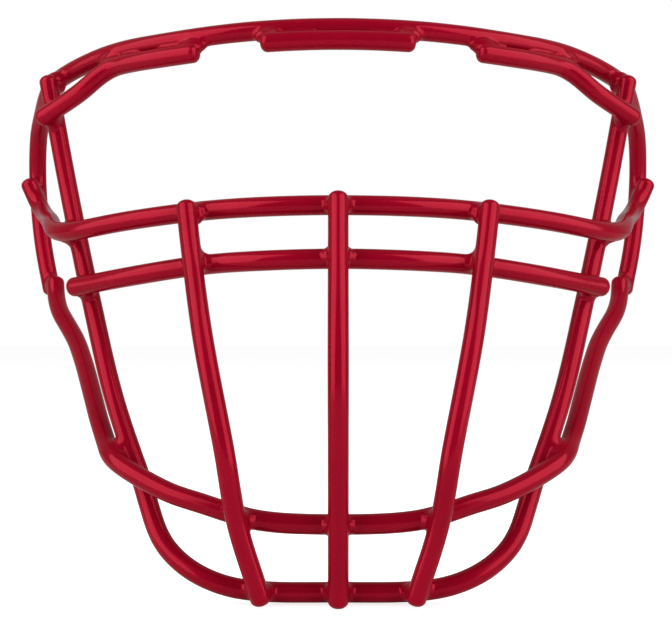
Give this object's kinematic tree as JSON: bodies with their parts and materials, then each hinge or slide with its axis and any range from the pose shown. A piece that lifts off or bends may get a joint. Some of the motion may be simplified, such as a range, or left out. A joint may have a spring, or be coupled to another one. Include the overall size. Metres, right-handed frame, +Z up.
{
  "type": "helmet face guard",
  "caption": "Wire face guard for a batting helmet: coated steel rods bent round the brow, eyes and jaw and welded together where they cross.",
  "frame": {"origin": "the middle of the brow arch, on the rod's centreline, in the plane of symmetry, where the helmet's brow clip would hold it", "axes": "+X to the wearer's left, +Y towards the back of the head, +Z up; the front of the guard faces -Y"},
  "size_m": [0.2438, 0.1323, 0.1927],
  "materials": {
    "crimson_coat": "glossy dipped coat",
    "crimson_weld": "glossy dipped coat over a weld bead"
  },
  "bodies": {
    "root": {"brow_arch": "crimson_coat", "jaw_loop": "crimson_coat", "upper_crossbar": "crimson_coat", "lower_crossbar": "crimson_coat", "jaw_bar": "crimson_coat", "centre_upright": "crimson_coat", "left_upright": "crimson_coat", "right_upright": "crimson_coat", "brow_centre_rod": "crimson_coat", "brow_side_rod_left": "crimson_coat", "brow_side_rod_right": "crimson_coat", "weld_left_upright_upper_crossbar": "crimson_weld", "weld_left_upright_lower_crossbar": "crimson_weld", "weld_left_upright_jaw_bar": "crimson_weld", "weld_left_upright_jaw_loop": "crimson_weld", "weld_centre_upright_upper_crossbar": "crimson_weld", "weld_centre_upright_lower_crossbar": "crimson_weld", "weld_centre_upright_jaw_bar": "crimson_weld", "weld_centre_upright_jaw_loop": "crimson_weld", "weld_right_upright_upper_crossbar": "crimson_weld", "weld_right_upright_lower_crossbar": "crimson_weld", "weld_right_upright_jaw_bar": "crimson_weld", "weld_right_upright_jaw_loop": "crimson_weld", "weld_arch_jaw_loop_left": "crimson_weld", "weld_arch_upper_crossbar_left": "crimson_weld", "weld_jaw_loop_upper_crossbar_left": "crimson_weld", "weld_jaw_loop_lower_crossbar_left": "crimson_weld", "weld_jaw_loop_jaw_bar_left": "crimson_weld", "weld_jaw_loop_side_rod_left": "crimson_weld", "weld_arch_side_rod_left": "crimson_weld", "weld_arch_centre_rod_left": "crimson_weld", "weld_arch_jaw_bar_left": "crimson_weld", "weld_arch_side_rod_fork_left": "crimson_weld", "weld_arch_jaw_loop_right": "crimson_weld", "weld_arch_upper_crossbar_right": "crimson_weld", "weld_jaw_loop_upper_crossbar_right": "crimson_weld", "weld_jaw_loop_lower_crossbar_right": "crimson_weld", "weld_jaw_loop_jaw_bar_right": "crimson_weld", "weld_jaw_loop_side_rod_right": "crimson_weld", "weld_arch_side_rod_right": "crimson_weld", "weld_arch_centre_rod_right": "crimson_weld", "weld_arch_jaw_bar_right": "crimson_weld", "weld_arch_side_rod_fork_right": "crimson_weld"}
  },
  "joints": []
}
